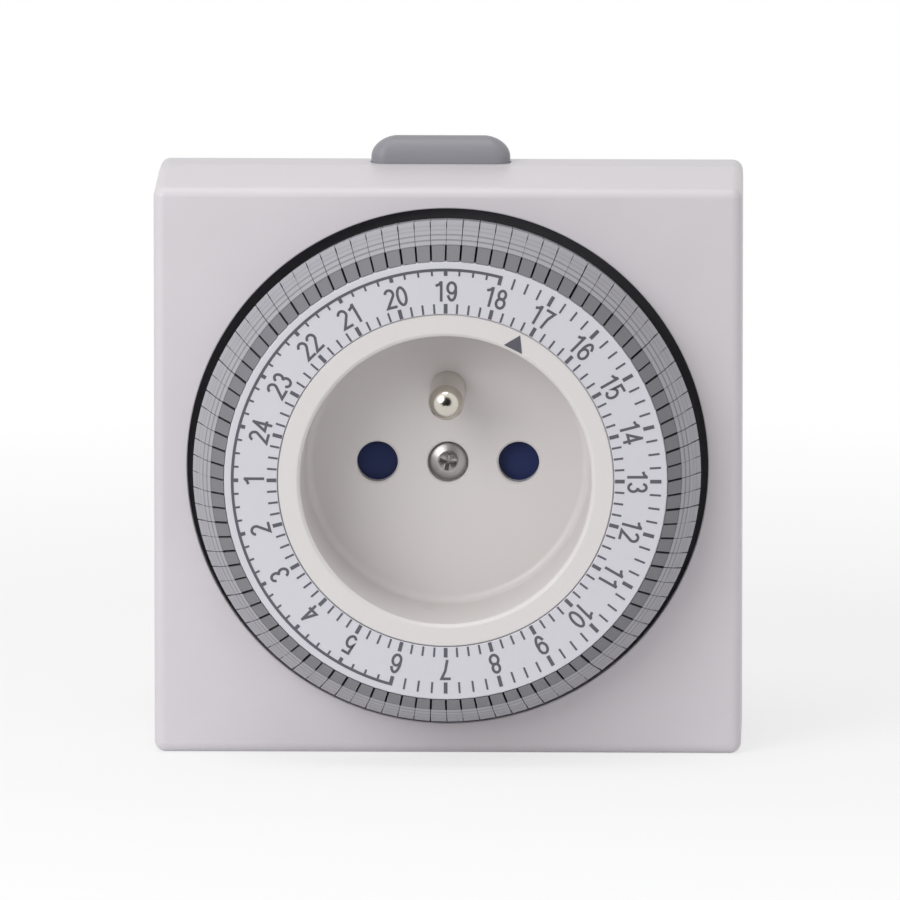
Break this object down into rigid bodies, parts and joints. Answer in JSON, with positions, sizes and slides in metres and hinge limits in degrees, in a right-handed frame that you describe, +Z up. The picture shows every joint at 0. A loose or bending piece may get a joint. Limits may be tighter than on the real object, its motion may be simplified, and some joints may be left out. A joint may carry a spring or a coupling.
{
  "type": "plug-in timer switch",
  "caption": "Square mechanical 24 hour plug-in time switch with a round plug behind, a recessed earthed socket in front and a number dial ringed by push-in tabs.",
  "frame": {"origin": "centre of the plug's face, midway between its two line pins", "axes": "+Y is the way the plug pins point, into the wall; the socket and dial face -Y; +Z is up, towards the override button; +X is right seen from the front"},
  "size_m": [0.0794, 0.0764, 0.0807],
  "materials": {
    "housing": "fine satin",
    "insert": "satin",
    "dial_face": "smooth, printed",
    "tab": "satin",
    "carrier": "satin",
    "button": "satin",
    "shutter": "smooth",
    "gear": "natural",
    "black_moulding": "satin",
    "nickel": "nickel plated",
    "steel": "zinc plated",
    "brass": "bright strip",
    "winding": "enamelled copper"
  },
  "bodies": {
    "housing": {"front_housing": "housing", "rear_housing": "housing", "plug_insert": "insert", "housing_screws": "steel", "socket_insert": "insert", "socket_screw": "steel", "shutter_cover": "insert", "shutter_spring": "steel", "earth_pin": "nickel", "earth_strap": "brass", "earth_bridge": "nickel", "earth_receptacle": "brass", "live_pin": "nickel", "neutral_pin": "nickel", "neutral_contact": "brass", "live_contact": "brass", "live_bar": "brass", "contact_leaf": "brass", "switch_base": "black_moulding", "lever_pin": "steel", "lever_spring": "steel", "button_spring": "steel", "motor_can": "steel", "motor_coil": "winding", "gear_arbors": "steel"},
    "dial": {"program_wheel": "carrier", "number_dial": "dial_face"},
    "drive_gear": {"drive_gear": "gear"},
    "reduction_gear": {"reduction_gear": "gear"},
    "motor_rotor": {"motor_rotor": "black_moulding"},
    "switch_lever": {"switch_lever": "gear"},
    "override_button": {"override_button": "button"},
    "shutter": {"shutter": "shutter"},
    "tabs_hour_01": {"tabs_hour_01": "tab"},
    "tabs_hour_02": {"tabs_hour_02": "tab"},
    "tabs_hour_03": {"tabs_hour_03": "tab"},
    "tabs_hour_04": {"tabs_hour_04": "tab"},
    "tabs_hour_05": {"tabs_hour_05": "tab"},
    "tabs_hour_06": {"tabs_hour_06": "tab"},
    "tabs_hour_07": {"tabs_hour_07": "tab"},
    "tabs_hour_08": {"tabs_hour_08": "tab"},
    "tabs_hour_09": {"tabs_hour_09": "tab"},
    "tabs_hour_10": {"tabs_hour_10": "tab"},
    "tabs_hour_11": {"tabs_hour_11": "tab"},
    "tabs_hour_12": {"tabs_hour_12": "tab"},
    "tabs_hour_13": {"tabs_hour_13": "tab"},
    "tabs_hour_14": {"tabs_hour_14": "tab"},
    "tabs_hour_15": {"tabs_hour_15": "tab"},
    "tabs_hour_16": {"tabs_hour_16": "tab"},
    "tabs_hour_17": {"tabs_hour_17": "tab"},
    "tabs_hour_18": {"tabs_hour_18": "tab"},
    "tabs_hour_19": {"tabs_hour_19": "tab"},
    "tabs_hour_20": {"tabs_hour_20": "tab"},
    "tabs_hour_21": {"tabs_hour_21": "tab"},
    "tabs_hour_22": {"tabs_hour_22": "tab"},
    "tabs_hour_23": {"tabs_hour_23": "tab"},
    "tabs_hour_24": {"tabs_hour_24": "tab"}
  },
  "joints": [
    {"name": "dial_spin", "type": "hinge", "parent": "housing", "child": "dial", "pos_m": [0, -0.045, 0], "axis": [0, 1, 0], "continuous": true},
    {"name": "drive_gear_spin", "type": "hinge", "parent": "housing", "child": "drive_gear", "pos_m": [-0.02376, -0.032, -0.02376], "axis": [0, 1, 0], "continuous": true},
    {"name": "reduction_gear_spin", "type": "hinge", "parent": "housing", "child": "reduction_gear", "pos_m": [-0.01217, -0.03, -0.02686], "axis": [0, 1, 0], "continuous": true},
    {"name": "motor_rotor_spin", "type": "hinge", "parent": "housing", "child": "motor_rotor", "pos_m": [-0.00043, -0.026, -0.02437], "axis": [0, 1, 0], "continuous": true},
    {"name": "switch_lever_tilt", "type": "hinge", "parent": "housing", "child": "switch_lever", "pos_m": [0.026, -0.03, 0.027], "axis": [0, 1, 0], "range_deg": [0, 6.5], "deforming": ["lever_spring"]},
    {"name": "override_push", "type": "slide", "parent": "housing", "child": "override_button", "axis": [0, 0, -1], "range_m": [0, 0.002], "stiffness_N_per_m": 400, "springref_m": -0.004, "deforming": ["button_spring"]},
    {"name": "shutter_slide", "type": "slide", "parent": "housing", "child": "shutter", "axis": [0, 0, -1], "range_m": [0, 0.007], "stiffness_N_per_m": 60, "springref_m": -0.005, "deforming": ["shutter_spring"]},
    {"name": "tabs_hour_01_push", "type": "slide", "parent": "dial", "child": "tabs_hour_01", "axis": [0, 1, 0], "range_m": [0, 0.003]},
    {"name": "tabs_hour_02_push", "type": "slide", "parent": "dial", "child": "tabs_hour_02", "axis": [0, 1, 0], "range_m": [0, 0.003]},
    {"name": "tabs_hour_03_push", "type": "slide", "parent": "dial", "child": "tabs_hour_03", "axis": [0, 1, 0], "range_m": [0, 0.003]},
    {"name": "tabs_hour_04_push", "type": "slide", "parent": "dial", "child": "tabs_hour_04", "axis": [0, 1, 0], "range_m": [0, 0.003]},
    {"name": "tabs_hour_05_push", "type": "slide", "parent": "dial", "child": "tabs_hour_05", "axis": [0, 1, 0], "range_m": [0, 0.003]},
    {"name": "tabs_hour_06_push", "type": "slide", "parent": "dial", "child": "tabs_hour_06", "axis": [0, 1, 0], "range_m": [0, 0.003]},
    {"name": "tabs_hour_07_push", "type": "slide", "parent": "dial", "child": "tabs_hour_07", "axis": [0, 1, 0], "range_m": [0, 0.003]},
    {"name": "tabs_hour_08_push", "type": "slide", "parent": "dial", "child": "tabs_hour_08", "axis": [0, 1, 0], "range_m": [0, 0.003]},
    {"name": "tabs_hour_09_push", "type": "slide", "parent": "dial", "child": "tabs_hour_09", "axis": [0, 1, 0], "range_m": [0, 0.003]},
    {"name": "tabs_hour_10_push", "type": "slide", "parent": "dial", "child": "tabs_hour_10", "axis": [0, 1, 0], "range_m": [0, 0.003]},
    {"name": "tabs_hour_11_push", "type": "slide", "parent": "dial", "child": "tabs_hour_11", "axis": [0, 1, 0], "range_m": [0, 0.003]},
    {"name": "tabs_hour_12_push", "type": "slide", "parent": "dial", "child": "tabs_hour_12", "axis": [0, 1, 0], "range_m": [0, 0.003]},
    {"name": "tabs_hour_13_push", "type": "slide", "parent": "dial", "child": "tabs_hour_13", "axis": [0, 1, 0], "range_m": [0, 0.003]},
    {"name": "tabs_hour_14_push", "type": "slide", "parent": "dial", "child": "tabs_hour_14", "axis": [0, 1, 0], "range_m": [0, 0.003]},
    {"name": "tabs_hour_15_push", "type": "slide", "parent": "dial", "child": "tabs_hour_15", "axis": [0, 1, 0], "range_m": [0, 0.003]},
    {"name": "tabs_hour_16_push", "type": "slide", "parent": "dial", "child": "tabs_hour_16", "axis": [0, 1, 0], "range_m": [0, 0.003]},
    {"name": "tabs_hour_17_push", "type": "slide", "parent": "dial", "child": "tabs_hour_17", "axis": [0, 1, 0], "range_m": [0, 0.003]},
    {"name": "tabs_hour_18_push", "type": "slide", "parent": "dial", "child": "tabs_hour_18", "axis": [0, 1, 0], "range_m": [0, 0.003]},
    {"name": "tabs_hour_19_push", "type": "slide", "parent": "dial", "child": "tabs_hour_19", "axis": [0, 1, 0], "range_m": [0, 0.003]},
    {"name": "tabs_hour_20_push", "type": "slide", "parent": "dial", "child": "tabs_hour_20", "axis": [0, 1, 0], "range_m": [0, 0.003]},
    {"name": "tabs_hour_21_push", "type": "slide", "parent": "dial", "child": "tabs_hour_21", "axis": [0, 1, 0], "range_m": [0, 0.003]},
    {"name": "tabs_hour_22_push", "type": "slide", "parent": "dial", "child": "tabs_hour_22", "axis": [0, 1, 0], "range_m": [0, 0.003]},
    {"name": "tabs_hour_23_push", "type": "slide", "parent": "dial", "child": "tabs_hour_23", "axis": [0, 1, 0], "range_m": [0, 0.003]},
    {"name": "tabs_hour_24_push", "type": "slide", "parent": "dial", "child": "tabs_hour_24", "axis": [0, 1, 0], "range_m": [0, 0.003]}
  ],
  "couplings": [
    {"joint": "drive_gear_spin", "follows": "dial_spin", "ratio": -6},
    {"joint": "reduction_gear_spin", "follows": "dial_spin", "ratio": 18},
    {"joint": "motor_rotor_spin", "follows": "dial_spin", "ratio": -54},
    {"joint": "switch_lever_tilt", "follows": "tabs_hour_18_push", "rad_per_m": 35.6}
  ]
}
